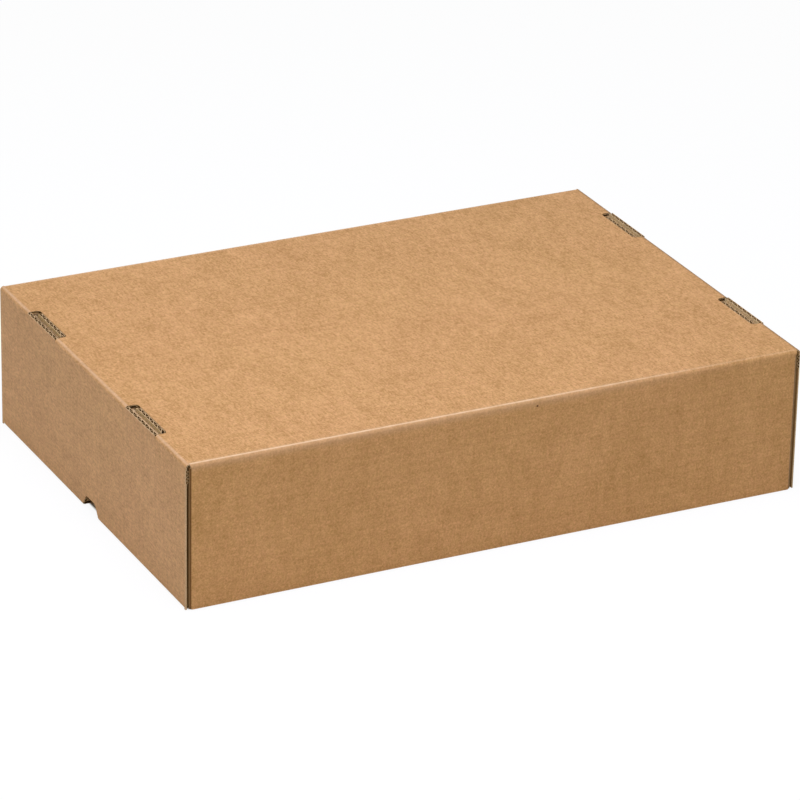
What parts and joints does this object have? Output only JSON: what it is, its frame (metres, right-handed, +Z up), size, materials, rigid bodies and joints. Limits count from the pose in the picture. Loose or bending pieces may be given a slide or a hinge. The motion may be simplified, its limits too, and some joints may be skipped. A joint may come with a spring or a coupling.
{
  "type": "closed cardboard box",
  "caption": "Shallow rectangular kraft cardboard box with a full-depth lift-off lid over a tray, rolled end walls locked by tabs in slots, and thumb notches in the lid's ends.",
  "frame": {"origin": "middle of the tray's underside, on the surface the box stands on", "axes": "+X along the length, +Y across the width, +Z up"},
  "size_m": [0.4706, 0.331, 0.1083],
  "materials": {
    "kraft_board": "matt brown kraft liner"
  },
  "bodies": {
    "tray": {"tray": "kraft_board"},
    "lid": {"lid": "kraft_board"}
  },
  "joints": [
    {"name": "lid_lift", "type": "slide", "parent": "tray", "child": "lid", "axis": [0, 0, 1], "range_m": [0, 0.12]}
  ]
}
